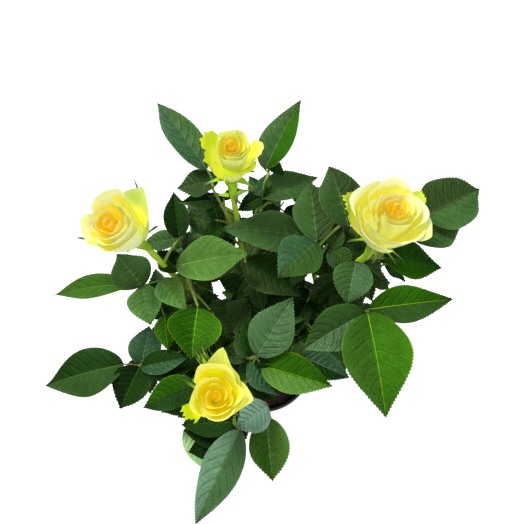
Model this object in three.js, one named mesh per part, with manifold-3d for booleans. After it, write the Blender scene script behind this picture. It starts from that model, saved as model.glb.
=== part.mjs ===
// A small yellow rose bush growing in a round plastic pot, in millimetres, with Z up.
// The origin is the middle of the pot's flat underside.
import * as THREE from 'three';
import { mergeVertices } from 'three/addons/utils/BufferGeometryUtils.js';
import Module from 'manifold-3d';

const wasm = await Module();
wasm.setup();

// The pot
const POT_HEIGHT = 90;
const RIM_RADIUS = 50;
const FOOT_RADIUS = 36;
const WALL = 1.6;
const FLOOR = 2;
const BAND_HEIGHT = 12;
const BAND_STEP = 2.2;
const POT_SIDES = 40;

// The soil
const SOIL_TOP = 80;
const SOIL_UNEVEN = 1.2;
const SOIL_SIDES = 24;

// Spaces between neighbours
const GAP = 0.35;

// The limbs
const LIMB_SIDES = 7;
const CANE_RINGS = 6;
const BOUGH_RINGS = 4;

// The masses of leaves
const MASS_SIDES = 20;
const MASS_RINGS = 4;
const MASS_CORE = 10;
const LEAF_SPREAD = 48;
const UNEVEN = 0.09;

// The blooms
const BLOOM_SIDES = 15;

const COLOURS = {
  pot: ['#2f2d30', 0.55],
  soil: ['#3a2418', 0.95],
  cane: ['#5c7a2e', 0.6],
  bough: ['#7fa32a', 0.6],
  bloom: ['#f1e66a', 0.7],
  dark: ['#2c5424', 0.55],
  mid: ['#3f6f2f', 0.55],
  light: ['#6d9a48', 0.55],
  bright: ['#3f9414', 0.5],
  blue: ['#6f9c86', 0.5],
};

// Canes run from the soil to the foot of a bloom or the joint of the top leaves.
const CANES = {
  cane_left: { foot: [-13, 4], by: [-44, 22, 175], top: [-82, 46, 259], thick: 6.4, thin: 4.2 },
  cane_back: { foot: [-6, 13], by: [-12, 44, 175], top: [-21, 80, 286], thick: 6.4, thin: 4 },
  cane_right: { foot: [13, 7], by: [40, 27, 170], top: [73, 38, 265], thick: 6.8, thin: 4.4 },
  cane_front: { foot: [-5, -12], by: [-19, -38, 165], top: [-31, -59, 250], thick: 6, thin: 4 },
  cane_short: { foot: [11, -9], by: [36, -6, 175], top: [64, -5, 264], thick: 5.6, thin: 3.4 },
};

// Boughs leave a cane at a share of its length and end inside a mass of leaves.
const BOUGHS = {
  bough_top_left: { from: 'cane_back', share: 0.86, to: [-34, 80, 281] },
  bough_top_right: { from: 'cane_back', share: 0.8, to: [3, 93, 272] },
  bough_far_left: { from: 'cane_left', share: 0.62, to: [-86, 29, 223] },
  bough_lower_left: { from: 'cane_left', share: 0.4, to: [-88, -26, 205] },
  bough_light_left: { from: 'cane_left', share: 0.8, to: [-54, 34, 251] },
  bough_centre_right: { from: 'cane_right', share: 0.72, to: [38, 46, 260] },
  bough_far_right: { from: 'cane_right', share: 0.84, to: [109, 58, 257] },
  bough_centre: { from: 'cane_short', share: 0.55, to: [0, -27, 238] },
  bough_front_right: { from: 'cane_front', share: 0.55, to: [5, -64, 216] },
  bough_front_long: { from: 'cane_front', share: 0.72, to: [-19, -71, 228] },
};
const BOUGH_THICK = 3.2;
const BOUGH_THIN = 1.8;

// Blooms: the foot and the heart give the way the flower faces.
const BLOOMS = {
  bloom_left: { foot: [-82, 46, 260], heart: [-102, 54, 292], width: 48 },
  bloom_back: { foot: [-21, 80, 287], heart: [-22, 86, 324], width: 38 },
  bloom_right: { foot: [73, 38, 266], heart: [84, 56, 307], width: 57 },
  bloom_front: { foot: [-31, -59, 251], heart: [-29, -63, 286], width: 44 },
};

// Masses of leaves. Each has a joint where its leaves meet, and for each leaf the way it points
// in degrees from +X, its reach, and how far its tip rises or droops.
const MASSES = {
  leaves_right_front: ['bright', [68, -5, 270], 9, [[9, 62, -9], [210, 49, -4], [277, 68, -10]]],
  leaves_top_left: ['mid', [-34, 84, 286], 8, [[124, 78, -2], [178, 28, -12]]],
  leaves_top_right: ['light', [5, 97, 274], 10, [[62, 60, 12], [100, 16, -10]]],
  leaves_light_left: ['light', [-57, 35, 252], 8, [[5, 52, 10], [60, 16, 0]]],
  leaves_centre_right: ['mid', [36, 50, 262], 8, [[96, 46, 4], [180, 64, -2], [226, 40, 4]]],
  leaves_upper_left: ['dark', [-61, 60, 244], 8, [[99, 37, 5], [186, 27, -5], [345, 44, -8]]],
  leaves_far_left: ['light', [-90, 29, 224], 8, [[182, 73, -20], [132, 34, -3], [288, 30, -3], [327, 42, 12]]],
  leaves_lower_left: ['dark', [-92, -28, 205], 8, [[190, 73, -15], [247, 34, -5], [8, 37, 6], [104, 32, -8]]],
  leaves_centre: ['blue', [-4, -28, 239], 9, [[57, 50, 10], [99, 31, -8], [311, 34, -12], [345, 53, 0]]],
  leaves_right_bright: ['bright', [86, 36, 262], 7, [[353, 40, -7], [330, 26, -6]]],
  leaves_far_right: ['mid', [112, 60, 258], 8, [[36, 60, -4], [14, 36, -8]]],
  leaves_behind_right: ['mid', [59, 64, 262], 8, [[100, 46, 6], [140, 20, -4]]],
  leaves_upper_right: ['mid', [2, 86, 260], 7, [[20, 50, -4], [330, 24, -6]]],
  leaves_under_top: ['dark', [-30, 76, 264], 7, [[178, 31, -5], [150, 20, -8]]],
  leaves_right_small: ['blue', [60, 33, 256], 8, [[256, 32, 4], [84, 30, 2], [335, 36, -8]]],
  leaves_front_long: ['blue', [-18, -72, 228], 8, [[243, 70, -27], [60, 14, 0]]],
  leaves_front_blue: ['blue', [2, -58, 233], 6, [[220, 26, -9]]],
  leaves_front_right: ['dark', [6, -66, 215], 8, [[273, 43, -10], [90, 14, 0]]],
  leaves_mid_left: ['bright', [-46, 8, 240], 9, [[261, 36, -22], [228, 27, -14], [298, 26, -12]]],
  leaves_left_front: ['bright', [-50, -40, 216], 8, [[207, 40, -7], [20, 16, 0]]],
  leaves_front_dark: ['dark', [-24, -70, 208], 8, [[180, 38, -8], [205, 34, -12]]],
  leaves_front_mint: ['light', [-50, -66, 192], 7, [[296, 32, -9], [180, 14, 0]]],
  leaves_centre_back: ['dark', [-12, 42, 238], 9, [[330, 50, -8], [200, 26, -6]]],
  leaves_lower_right: ['dark', [27, -22, 222], 8, [[339, 36, -8], [30, 28, -4]]],
  leaves_low_left: ['dark', [-50, 14, 194], 20, [[150, 42, -14], [200, 42, -16], [90, 34, -8], [300, 30, -8]]],
  leaves_low_back_left: ['dark', [-42, 62, 206], 20, [[120, 48, -16], [170, 42, -14], [70, 38, -10]]],
  leaves_low_back: ['dark', [14, 74, 212], 20, [[80, 48, -16], [30, 42, -12], [130, 36, -12], [270, 26, -6]]],
  leaves_low_back_right: ['dark', [66, 56, 204], 20, [[50, 44, -14], [0, 40, -14], [100, 36, -12]]],
  leaves_low_right: ['dark', [62, 8, 198], 20, [[20, 42, -16], [330, 40, -18], [170, 28, -6]]],
  leaves_low_front: ['dark', [-20, -36, 184], 18, [[200, 40, -14], [250, 34, -16], [150, 32, -6]]],
  leaves_inner: ['mid', [8, 20, 210], 16, [[20, 40, -4], [120, 36, -4], [240, 38, -8], [310, 36, -6]]],
  leaves_skirt_left: ['dark', [-36, 18, 150], 22, [[165, 46, -16], [215, 42, -18], [105, 40, -12]]],
  leaves_skirt_back: ['dark', [2, 48, 158], 22, [[60, 44, -14], [110, 48, -16], [160, 38, -12]]],
  leaves_skirt_right: ['dark', [40, 26, 148], 22, [[10, 46, -16], [60, 42, -14], [315, 36, -14]]],
  leaves_skirt_front: ['dark', [-4, -16, 144], 20, [[225, 40, -16], [280, 34, -16], [330, 36, -12]]],
};

const radians = (degrees) => (degrees * Math.PI) / 180;

// A three.js shape as a closed solid.
function solidOf(geometry) {
  const bare = geometry.clone();
  bare.deleteAttribute('normal');
  bare.deleteAttribute('uv');
  const joined = mergeVertices(bare, 1e-4);
  return new wasm.Manifold(new wasm.Mesh({
    numProp: 3,
    vertProperties: new Float32Array(joined.attributes.position.array),
    triVerts: new Uint32Array(joined.index.array),
  }));
}

// The largest connected piece of a solid, as a three.js shape.
function largestPiece(solid) {
  const mesh = solid.getMesh();
  const corners = mesh.triVerts;
  const leader = new Uint32Array(mesh.vertProperties.length / 3).map((_, i) => i);
  const find = (i) => {
    let at = i;
    while (leader[at] !== at) {
      leader[at] = leader[leader[at]];
      at = leader[at];
    }
    return at;
  };
  for (let t = 0; t < corners.length; t += 3) {
    leader[find(corners[t])] = find(corners[t + 1]);
    leader[find(corners[t + 1])] = find(corners[t + 2]);
  }
  const groups = new Map();
  for (let t = 0; t < corners.length; t += 3) {
    const group = find(corners[t]);
    if (!groups.has(group)) {
      groups.set(group, []);
    }
    groups.get(group).push(corners[t], corners[t + 1], corners[t + 2]);
  }
  const largest = [...groups.values()].sort((a, b) => b.length - a.length)[0];
  const shape = new THREE.BufferGeometry();
  shape.setAttribute('position', new THREE.BufferAttribute(new Float32Array(mesh.vertProperties), 3));
  shape.setIndex(largest);
  return mergeVertices(shape.toNonIndexed(), 1e-4);
}

// A limb: a cylinder with a thick and a thin end, bent along a smooth path.
function limb(points, thick, thin, rings) {
  const path = new THREE.CatmullRomCurve3(points.map((p) => new THREE.Vector3(...p)));
  const frames = path.computeFrenetFrames(rings);
  const shape = new THREE.CylinderGeometry(thin / 2, thick / 2, 1, LIMB_SIDES, rings);
  const position = shape.attributes.position;
  for (let i = 0; i < position.count; i += 1) {
    const share = position.getY(i) + 0.5;
    const ring = Math.round(share * rings);
    const at = path.getPoint(share);
    at.addScaledVector(frames.normals[ring], position.getZ(i));
    at.addScaledVector(frames.binormals[ring], position.getX(i));
    position.setXYZ(i, at.x, at.y, at.z);
  }
  return shape;
}

function canePoints({ foot, by, top }) {
  return [[foot[0], foot[1], SOIL_TOP - 14], [foot[0] * 1.4, foot[1] * 1.4, SOIL_TOP + 18], by, top];
}

function caneAt(name, share) {
  const path = new THREE.CatmullRomCurve3(canePoints(CANES[name]).map((p) => new THREE.Vector3(...p)));
  return path.getPoint(share);
}

// A bough starts just off the skin of its cane and bends upwards as it goes out.
function boughPoints({ from, share, to }) {
  const start = caneAt(from, share);
  const end = new THREE.Vector3(...to);
  const away = end.clone().sub(start).normalize();
  const cane = CANES[from];
  const skin = (cane.thick + (cane.thin - cane.thick) * share) / 2 + GAP + BOUGH_THICK * 0.42;
  start.addScaledVector(away, skin);
  const middle = start.clone().lerp(end, 0.5);
  middle.z -= start.distanceTo(end) * 0.06;
  return [start.toArray(), middle.toArray(), end.toArray()];
}

// How far a mass reaches one way, and how much it rises or droops there.
function spread(leaves, heading) {
  let reach = MASS_CORE;
  let rise = 0;
  let weight = 0;
  for (const [toward, length, lift] of leaves) {
    const turn = THREE.MathUtils.euclideanModulo(heading - toward + 180, 360) - 180;
    const share = Math.max(0, 1 - (Math.abs(turn) / LEAF_SPREAD) ** 1.4);
    reach = Math.max(reach, MASS_CORE + (length - MASS_CORE) * share);
    rise += lift * share;
    weight += share;
  }
  return [reach, rise / Math.max(1, weight)];
}

// A mass of leaves: a flattened ball drawn out along each leaf, uneven above and below.
function leafMass([, joint, thick, leaves]) {
  const first = leaves[0][0];
  const shape = new THREE.SphereGeometry(1, MASS_SIDES, MASS_RINGS);
  shape.rotateX(Math.PI / 2);
  const position = shape.attributes.position;
  for (let i = 0; i < position.count; i += 1) {
    const turn = Math.atan2(position.getY(i), position.getX(i));
    const out = Math.hypot(position.getX(i), position.getY(i));
    const heading = (turn * 180) / Math.PI + first;
    const [reach, rise] = spread(leaves, heading);
    const bump = 1 + UNEVEN * Math.sin(3 * turn + joint[0]) * Math.cos(2 * turn + joint[1]);
    const lump = 1 + 3 * UNEVEN * Math.sin(4 * turn + joint[2]) * out;
    const far = out * reach * bump;
    position.setXYZ(
      i,
      joint[0] + far * Math.cos(radians(heading)),
      joint[1] + far * Math.sin(radians(heading)),
      joint[2] + rise * out * out + (position.getZ(i) * lump * thick) / 2,
    );
  }
  return shape;
}

// A bloom: a cup turned round its axis, with its outer petals curling out at the lip.
function bloom({ foot, heart, width }) {
  const base = new THREE.Vector3(...foot);
  const axis = new THREE.Vector3(...heart).sub(base);
  const tall = axis.length();
  const radius = width / 2;
  const profile = [
    [0, -1.5], [0.16, -1.2], [0.3, 2], [0.62, tall * 0.22], [0.84, tall * 0.5],
    [1, tall * 0.72], [0.92, tall * 0.84], [0.62, tall * 0.98], [0.3, tall], [0, tall * 0.97],
  ];
  const shape = new THREE.LatheGeometry(
    profile.map(([r, z]) => new THREE.Vector2(r * radius, z)),
    BLOOM_SIDES,
  );
  shape.rotateX(Math.PI / 2);
  const position = shape.attributes.position;
  for (let i = 0; i < position.count; i += 1) {
    const turn = Math.atan2(position.getY(i), position.getX(i));
    const petal = 1 + 0.07 * Math.cos(5 * turn + radius);
    position.setXYZ(i, position.getX(i) * petal, position.getY(i) * petal, position.getZ(i));
  }
  shape.applyQuaternion(new THREE.Quaternion().setFromUnitVectors(
    new THREE.Vector3(0, 0, 1),
    axis.normalize(),
  ));
  shape.translate(base.x, base.y, base.z + 2);
  return shape;
}

// The pot: one wall with a stepped band under the rim, turned round the middle.
function pot() {
  const slope = (RIM_RADIUS - BAND_STEP - FOOT_RADIUS) / (POT_HEIGHT - BAND_HEIGHT);
  const outer = (z) => FOOT_RADIUS + slope * z;
  const step = POT_HEIGHT - BAND_HEIGHT;
  const profile = [
    [0, 0], [FOOT_RADIUS - 1, 0], [outer(1.2), 1.2], [outer(step - 1), step - 1],
    [RIM_RADIUS - 0.8, step], [RIM_RADIUS - 0.4, POT_HEIGHT - 2.4], [RIM_RADIUS, POT_HEIGHT - 1],
    [RIM_RADIUS - 0.8, POT_HEIGHT], [RIM_RADIUS - 2.2, POT_HEIGHT], [RIM_RADIUS - 2.8, POT_HEIGHT - 1.2],
    [outer(step) - WALL, step - 2], [outer(FLOOR) - WALL, FLOOR], [0, FLOOR],
  ];
  const shape = new THREE.LatheGeometry(profile.map(([r, z]) => new THREE.Vector2(r, z)), POT_SIDES);
  return shape.rotateX(Math.PI / 2);
}

// The soil: fills the pot to just under its rim, with a lumpy top.
function soil() {
  const slope = (RIM_RADIUS - BAND_STEP - FOOT_RADIUS) / (POT_HEIGHT - BAND_HEIGHT);
  const inside = (z) => FOOT_RADIUS + slope * z - WALL - 2 * GAP;
  const profile = [
    [0, FLOOR + GAP], [inside(FLOOR), FLOOR + GAP], [inside(SOIL_TOP - 6), SOIL_TOP - 6],
    [inside(SOIL_TOP - 6), SOIL_TOP - 2], [34, SOIL_TOP], [18, SOIL_TOP + 0.6], [0, SOIL_TOP + 0.4],
  ];
  const shape = new THREE.LatheGeometry(profile.map(([r, z]) => new THREE.Vector2(r, z)), SOIL_SIDES);
  shape.rotateX(Math.PI / 2);
  const position = shape.attributes.position;
  for (let i = 0; i < position.count; i += 1) {
    const [x, y, z] = [position.getX(i), position.getY(i), position.getZ(i)];
    if (z > SOIL_TOP - 1) {
      position.setZ(i, z + SOIL_UNEVEN * Math.sin(x / 7) * Math.cos(y / 6 + 1));
    }
  }
  return shape;
}

const plant = new THREE.Group();
plant.name = 'potted_rose_bush';

function place(name, shape, colour) {
  const [tint, roughness] = COLOURS[colour];
  shape.computeVertexNormals();
  const mesh = new THREE.Mesh(
    shape,
    new THREE.MeshStandardMaterial({ color: tint, roughness, metalness: 0 }),
  );
  mesh.name = name;
  plant.add(mesh);
}

// Everything already placed, a little oversize, so that what comes later is cut clear of it.
const taken = [];

function cutClear(shape) {
  let solid = solidOf(shape);
  const size = new THREE.Box3().setFromBufferAttribute(shape.attributes.position);
  for (const [box, blocker] of taken) {
    if (box.intersectsBox(size)) {
      solid = solid.subtract(blocker);
    }
  }
  return largestPiece(solid);
}

function keepClear(shape) {
  const bare = shape.clone();
  bare.deleteAttribute('normal');
  bare.deleteAttribute('uv');
  const swollen = mergeVertices(bare, 1e-4);
  swollen.computeVertexNormals();
  const { position, normal } = swollen.attributes;
  for (let i = 0; i < position.count; i += 1) {
    const skin = new THREE.Vector3().fromBufferAttribute(position, i);
    skin.addScaledVector(new THREE.Vector3().fromBufferAttribute(normal, i), GAP * 1.4);
    position.setXYZ(i, skin.x, skin.y, skin.z);
  }
  const box = new THREE.Box3().setFromBufferAttribute(position);
  taken.push([box, solidOf(swollen).add(solidOf(shape))]);
}

place('pot', pot(), 'pot');

for (const [name, cane] of Object.entries(CANES)) {
  const shape = limb(canePoints(cane), cane.thick, cane.thin, CANE_RINGS);
  place(name, cutClear(shape), 'cane');
  keepClear(shape);
}

place('soil', cutClear(soil()), 'soil');

for (const [name, bough] of Object.entries(BOUGHS)) {
  const shape = limb(boughPoints(bough), BOUGH_THICK, BOUGH_THIN, BOUGH_RINGS);
  place(name, cutClear(shape), 'bough');
  keepClear(shape);
}

for (const [name, flower] of Object.entries(BLOOMS)) {
  const shape = bloom(flower);
  place(name, cutClear(shape), 'bloom');
  keepClear(shape);
}

for (const [name, mass] of Object.entries(MASSES)) {
  const shape = leafMass(mass);
  place(name, cutClear(shape), mass[0]);
  keepClear(shape);
}

export default plant;
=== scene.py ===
"""A small yellow rose bush in a dark plastic pot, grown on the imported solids: bark, leaf stalks,
toothed leaves, petals, sepals, thorns, pot and compost. Metres, Z up, the pot's underside at zero."""

import math
import random

import bpy
import numpy as np
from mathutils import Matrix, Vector, noise


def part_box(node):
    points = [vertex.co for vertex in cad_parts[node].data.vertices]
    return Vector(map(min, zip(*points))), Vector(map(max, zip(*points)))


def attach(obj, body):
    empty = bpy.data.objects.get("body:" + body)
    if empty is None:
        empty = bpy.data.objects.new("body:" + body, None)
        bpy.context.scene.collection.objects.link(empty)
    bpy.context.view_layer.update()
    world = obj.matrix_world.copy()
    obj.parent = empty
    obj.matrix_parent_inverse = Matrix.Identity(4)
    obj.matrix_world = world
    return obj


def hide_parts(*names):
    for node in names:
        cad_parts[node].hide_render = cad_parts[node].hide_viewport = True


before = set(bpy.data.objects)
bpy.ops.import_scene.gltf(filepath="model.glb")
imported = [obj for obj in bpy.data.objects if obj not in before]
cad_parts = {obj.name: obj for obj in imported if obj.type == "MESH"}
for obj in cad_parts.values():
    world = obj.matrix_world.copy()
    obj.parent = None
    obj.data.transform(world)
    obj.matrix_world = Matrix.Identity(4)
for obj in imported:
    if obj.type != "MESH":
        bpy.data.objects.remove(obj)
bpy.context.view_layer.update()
MM = 0.001
dice = random.Random(11)


# ---------------------------------------------------------------- small helpers

def paint(code):
    """A screen colour such as #2c5424 as linear red, green, blue, alpha."""
    parts = [int(code[i:i + 2], 16) / 255 for i in (1, 3, 5)]
    linear = [p / 12.92 if p <= 0.04045 else ((p + 0.055) / 1.055) ** 2.4 for p in parts]
    return (*linear, 1.0)


def unit(v):
    return v / max(np.linalg.norm(v), 1e-12)


def smooth(low, high, value):
    """0 below low, 1 above high, and a soft rise between."""
    t = np.clip((value - low) / (high - low), 0, 1)
    return t * t * (3 - 2 * t)


def share_of(node, shares):
    """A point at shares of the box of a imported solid."""
    low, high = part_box(node)
    return np.array([low[i] + shares[i] * (high[i] - low[i]) for i in range(3)])


def put_in_scene(name, data):
    """A new object that shows the data."""
    thing = bpy.data.objects.new(name, data)
    bpy.context.scene.collection.objects.link(thing)
    return thing


# The corners of a face in the order that turns it over.
TURNED = [0, 3, 2, 1]

# The share of its flat cell that a sheet leaves free at each edge.
CELL_EDGE = 0.03


class Shape:
    """Gathers sheets of faces with named values, and becomes one mesh object."""

    def __init__(self):
        self.points = []
        self.faces = []
        self.looks = []
        self.sheets = []
        self.values = {"along": [], "across": [], "rib": [], "tone": [], "layer": []}
        self.count = 0

    def grid(self, points, look=0, closed=False, turned=False, **values):
        """Adds a sheet from a block of points: rows go along it and columns across it.
        A turned sheet faces the other way, with its faces split along the same diagonals."""
        rows, columns = points.shape[:2]
        index = self.count + np.arange(rows * columns).reshape(rows, columns)
        if closed:
            index = np.concatenate([index, index[:, :1]], axis=1)
        quads = np.stack(
            [index[:-1, :-1], index[1:, :-1], index[1:, 1:], index[:-1, 1:]], axis=-1
        ).reshape(-1, 4)
        if turned:
            quads = quads[:, TURNED]
        self.points.append(points.reshape(-1, 3))
        self.faces.append(quads)
        shaped = np.broadcast_to(look, (rows - 1, index.shape[1] - 1))
        self.looks.append(shaped.reshape(-1))
        self.sheets.append((rows, columns, closed, turned))
        along = np.linspace(0, 1, rows)[:, None]
        across = np.linspace(-1, 1, columns)[None, :]
        given = {"along": along, "across": across, "rib": 0.0, "tone": 0.5, "layer": 0.0}
        given.update(values)
        for name, kept in self.values.items():
            kept.append(np.broadcast_to(given[name], (rows, columns)).reshape(-1))
        self.count += rows * columns

    def layout(self):
        """A tidy square of cells, one for each sheet, as flat coordinates for every face corner."""
        side = math.ceil(math.sqrt(len(self.sheets)))
        flat = []
        for number, (rows, columns, closed, turned) in enumerate(self.sheets):
            left, low = (number % side) / side, (number // side) / side
            wide = columns + 1 if closed else columns
            inner = 1 - 2 * CELL_EDGE
            u = left + (CELL_EDGE + inner * np.arange(wide) / (wide - 1)) / side
            v = low + (CELL_EDGE + inner * np.arange(rows) / (rows - 1)) / side
            spot = np.stack(np.meshgrid(v, u, indexing="ij")[::-1], axis=-1)
            corners = np.stack([spot[:-1, :-1], spot[1:, :-1], spot[1:, 1:], spot[:-1, 1:]], axis=2)
            corners = corners.reshape(-1, 4, 2)
            flat.append((corners[:, TURNED] if turned else corners).reshape(-1, 2))
        return np.concatenate(flat)

    def build(self, name, materials, replaced=()):
        """Makes the object, gives it its materials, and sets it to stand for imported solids."""
        mesh = bpy.data.meshes.new(name)
        faces = np.concatenate(self.faces)
        mesh.from_pydata(np.concatenate(self.points).tolist(), [], faces.tolist())
        looks = np.concatenate(self.looks)
        used = np.unique(looks)
        mesh.polygons.foreach_set("material_index", np.searchsorted(used, looks).astype(np.int32))
        mesh.polygons.foreach_set("use_smooth", np.ones(len(faces), bool))
        flat = mesh.uv_layers.new(name="OFBake")
        flat.data.foreach_set("uv", self.layout().astype(np.float32).reshape(-1))
        for value, kept in self.values.items():
            layer = mesh.attributes.new(value, "FLOAT", "POINT")
            layer.data.foreach_set("value", np.concatenate(kept).astype(np.float32))
        for look in used:
            mesh.materials.append(materials[look])
        piece = put_in_scene(name, mesh)
        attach(piece, "root")
        if replaced:
            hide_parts(*replaced)


# ---------------------------------------------------------------- materials

class Nodes:
    """A short hand for wiring nodes in a material or a group."""

    def __init__(self, tree):
        self.tree = tree

    def add(self, kind, inputs=None, **settings):
        node = self.tree.nodes.new(kind)
        for name, value in settings.items():
            setattr(node, name, value)
        for name, value in (inputs or {}).items():
            if isinstance(value, bpy.types.NodeSocket):
                self.tree.links.new(value, node.inputs[name])
            else:
                node.inputs[name].default_value = value
        return node

    def math(self, operation, *terms):
        node = self.add("ShaderNodeMath", operation=operation)
        for socket, term in zip(node.inputs, terms):
            if isinstance(term, bpy.types.NodeSocket):
                self.tree.links.new(term, socket)
            else:
                socket.default_value = term
        return node.outputs[0]

    def times(self, first, second):
        return self.math("MULTIPLY", first, second)

    def plus(self, first, second):
        return self.math("ADD", first, second)

    def minus(self, first, second):
        return self.math("SUBTRACT", first, second)

    def larger(self, first, second):
        return self.math("MAXIMUM", first, second)

    def scaled(self, value, by, shift):
        """A value times one term, plus another."""
        return self.math("MULTIPLY_ADD", value, by, shift)

    def value(self, name):
        """A named value that the mesh carries."""
        return self.add("ShaderNodeAttribute", attribute_name=name).outputs["Fac"]

    def ramp(self, source, low, high, start=0.0, end=1.0):
        """A soft change from start to end as source goes from low to high."""
        node = self.add(
            "ShaderNodeMapRange",
            {"Value": source, "From Min": low, "From Max": high, "To Min": start, "To Max": end},
            interpolation_type="SMOOTHSTEP",
        )
        return node.outputs["Result"]

    def mix(self, amount, first, second, blend="MIX"):
        node = self.add("ShaderNodeMix", data_type="RGBA", blend_type=blend)
        for socket, term in ((node.inputs[0], amount), (node.inputs[6], first), (node.inputs[7], second)):
            if isinstance(term, bpy.types.NodeSocket):
                self.tree.links.new(term, socket)
            else:
                socket.default_value = term
        return node.outputs[2]

    def noise(self, scale, detail=3.0, roughness=0.55, where=None):
        where = where or self.add("ShaderNodeTexCoord").outputs["Object"]
        return self.add(
            "ShaderNodeTexNoise",
            {"Vector": where, "Scale": scale, "Detail": detail, "Roughness": roughness},
        ).outputs["Fac"]

    def shaded(self, colour, level):
        """A colour made darker or lighter by a level."""
        grey = self.add("ShaderNodeCombineColor", {"Red": level, "Green": level, "Blue": level})
        return self.mix(1.0, colour, grey.outputs[0], "MULTIPLY")

    def hand_out(self, node, **results):
        """Links results to the inputs of a node with the same names."""
        for label, result in results.items():
            self.tree.links.new(result, node.inputs[label])


def new_group(name, inputs, outputs):
    """A node group with named colour or number inputs and outputs."""
    tree = bpy.data.node_groups.new(name, "ShaderNodeTree")
    for label, kind, default in inputs:
        socket = tree.interface.new_socket(label, in_out="INPUT", socket_type=kind)
        socket.default_value = default
    for label, kind in outputs:
        tree.interface.new_socket(label, in_out="OUTPUT", socket_type=kind)
    nodes = Nodes(tree)
    return tree, nodes, nodes.add("NodeGroupInput"), nodes.add("NodeGroupOutput")


# Side veins on each half of a leaf, how far they sweep forward at its edge, and how much they hook.
SIDE_VEINS = 8
VEIN_SWEEP = 1.2
VEIN_HOOK = 0.5


def leaf_skin():
    """Blade colour with a pale midrib, sunken side veins between raised panels and a fine net, with painted
    shade in the grooves along the side veins and towards the foot.
    """
    tree, n, given, out = new_group(
        "leaf skin",
        [
            ("Blade", "NodeSocketColor", (0.03, 0.1, 0.02, 1)),
            ("Vein", "NodeSocketColor", (0.2, 0.4, 0.05, 1)),
            ("Vein Strength", "NodeSocketFloat", 0.2),
        ],
        [("Colour", "NodeSocketColor"), ("Roughness", "NodeSocketFloat"), ("Height", "NodeSocketFloat")],
    )
    along = n.value("along")
    across = n.math("ABSOLUTE", n.value("across"))
    mottle = n.noise(75, 3)
    cloud = n.noise(28, 2)
    sweep = n.times(across, n.scaled(across, VEIN_HOOK, VEIN_SWEEP))
    phase = n.minus(n.times(along, SIDE_VEINS), sweep)
    phase = n.plus(phase, n.scaled(n.noise(110, 2), 0.4, -0.2))
    to_vein = n.math("ABSOLUTE", n.minus(n.math("FRACT", phase), 0.5))
    inside = n.times(n.ramp(across, 0.97, 0.6), n.ramp(along, 0.99, 0.8))
    vein = n.times(n.ramp(to_vein, 0.455, 0.5), inside)
    groove = n.times(n.ramp(to_vein, 0.2, 0.48), inside)
    rib_width = n.scaled(along, -0.28, 0.44)
    rib = n.math("DIVIDE", n.math("ABSOLUTE", n.value("rib")), rib_width)
    rib = n.ramp(rib, 1.0, 0.45)
    net = n.add(
        "ShaderNodeTexVoronoi",
        {"Vector": n.add("ShaderNodeTexCoord").outputs["Object"], "Scale": 620.0},
        feature="DISTANCE_TO_EDGE",
    ).outputs["Distance"]
    net = n.ramp(net, 0.0, 0.25)
    tone = n.scaled(n.value("tone"), 0.3, 0.85)
    patch = n.plus(n.scaled(mottle, 0.7, 0.3), n.times(cloud, 0.7))
    shade = n.times(tone, patch)
    shade = n.times(shade, n.scaled(net, 0.16, 0.87))
    # Painted shade: the blade is darkened in the grooves along the side veins, where the raised panels would
    # shade it.
    painted_groove_shade = n.times(groove, n.ramp(cloud, 0.35, 0.6, 0.35, 1.0))
    shade = n.times(shade, n.scaled(painted_groove_shade, -0.22, 1.06))
    # Painted shade: the blade is darker towards its foot, where the leaflets overlap.
    shade = n.times(shade, n.ramp(along, 0.0, 0.3, 0.78, 1.0))
    blade = n.shaded(given.outputs["Blade"], shade)
    lines = n.times(vein, given.outputs["Vein Strength"])
    lines = n.larger(lines, n.times(rib, 0.58))
    lines = n.larger(lines, n.ramp(across, 0.95, 1.0, 0.0, 0.35))
    colour = n.mix(lines, blade, given.outputs["Vein"])
    gloss = n.scaled(n.noise(240, 2), 0.22, 0.3)
    gloss = n.plus(gloss, n.times(groove, 0.1))
    height = n.scaled(net, 0.25, n.times(groove, -0.9))
    height = n.minus(height, n.times(rib, 0.8))
    height = n.scaled(n.noise(420, 2), 0.3, height)
    n.hand_out(out, Colour=colour, Roughness=gloss, Height=height)
    return tree


def stem_skin():
    """Green bark that is paler where it is young, with a flush along it, specks and fine lines."""
    tree, n, given, out = new_group(
        "stem skin",
        [
            ("Green", "NodeSocketColor", (0.1, 0.2, 0.03, 1)),
            ("Young", "NodeSocketColor", (0.3, 0.5, 0.02, 1)),
            ("Flush", "NodeSocketColor", (0.2, 0.08, 0.04, 1)),
            ("Flush Amount", "NodeSocketFloat", 0.4),
        ],
        [("Colour", "NodeSocketColor"), ("Roughness", "NodeSocketFloat"), ("Height", "NodeSocketFloat")],
    )
    where = n.add("ShaderNodeTexCoord").outputs["Object"]
    drawn = n.add("ShaderNodeMapping", {"Vector": where, "Scale": (1.0, 1.0, 0.16)}).outputs[0]
    lines = n.noise(900, 3, 0.6, drawn)
    cloud = n.noise(60, 3)
    colour = n.mix(n.value("tone"), given.outputs["Green"], given.outputs["Young"])
    flush = n.times(n.ramp(cloud, 0.42, 0.66), given.outputs["Flush Amount"])
    flush = n.times(flush, n.scaled(n.value("tone"), -0.8, 1.0))
    colour = n.mix(flush, colour, given.outputs["Flush"])
    colour = n.shaded(colour, n.scaled(lines, 0.5, 0.75))
    specks = n.ramp(n.noise(700, 1), 0.68, 0.74)
    colour = n.mix(n.times(specks, 0.3), colour, (0.5, 0.5, 0.3, 1))
    gloss = n.scaled(lines, 0.3, 0.32)
    height = n.scaled(lines, 0.8, specks)
    n.hand_out(out, Colour=colour, Roughness=gloss, Height=height)
    return tree


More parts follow.
